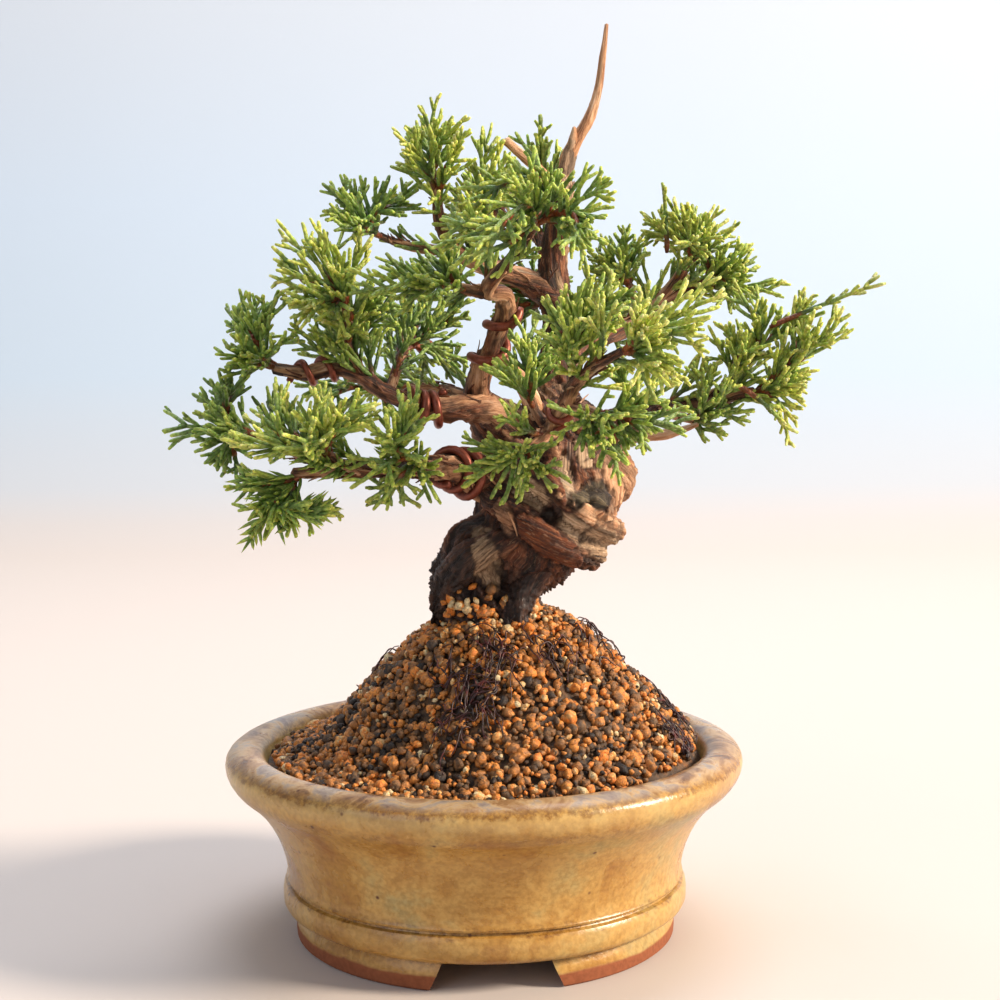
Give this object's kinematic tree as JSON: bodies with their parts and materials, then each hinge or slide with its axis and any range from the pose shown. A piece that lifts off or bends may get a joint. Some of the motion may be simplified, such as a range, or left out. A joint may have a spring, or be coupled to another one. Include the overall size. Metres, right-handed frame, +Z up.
{
  "type": "potted bonsai tree",
  "caption": "Small twisted juniper bonsai with scale-leaved foliage pads, dead wood and wired limbs, on a mound of granular soil in a round glazed pot on three feet.",
  "frame": {"origin": "On the surface it stands on, under the middle of the bounding box of tree and pot together; the pot's own axis is 11.5 mm to -X and 9.1 mm to +Y of it", "axes": "+Z up along the pot's axis, -Y towards the viewer of the picture, +X to that viewer's right"},
  "size_m": [0.1642, 0.146, 0.2096],
  "materials": {
    "glaze": "satin",
    "granules": "matte",
    "bark": "matte",
    "leaf": "satin",
    "young_leaf": "satin",
    "wire": "satin",
    "plastic_mesh": "matte"
  },
  "bodies": {
    "root": {"pot": "glaze", "drain_screen": "plastic_mesh", "soil": "granules", "tree": "bark", "wire_left_middle": "wire", "wire_left_middle_tip": "wire", "wire_left_low": "wire", "wire_left_arm": "wire", "wire_front": "wire", "wire_right": "wire", "wire_right_back": "wire", "spray_far_left": "leaf", "spray_low_front": "young_leaf", "spray_low_droop": "leaf", "spray_low_right": "leaf", "spray_mid_top": "young_leaf", "spray_mid_left": "leaf", "spray_mid_right": "leaf", "spray_twig_back": "leaf", "spray_front_low_left": "leaf", "spray_front_top": "leaf", "spray_crown": "young_leaf", "spray_crown_left": "leaf", "spray_crown_mid": "young_leaf", "spray_top_small": "leaf", "spray_up_right_a": "leaf", "spray_up_right_b": "young_leaf", "spray_up_right_c": "leaf", "spray_right_top": "young_leaf", "spray_right_tip": "young_leaf", "spray_right_under": "leaf", "spray_front_up": "leaf", "spray_front_right": "young_leaf", "spray_front_low": "leaf", "spray_front_hang": "leaf", "spray_front_left": "leaf", "spray_back_inner": "leaf", "spray_back_right": "leaf", "spray_back_top": "leaf", "spray_back_left": "leaf"}
  },
  "joints": []
}
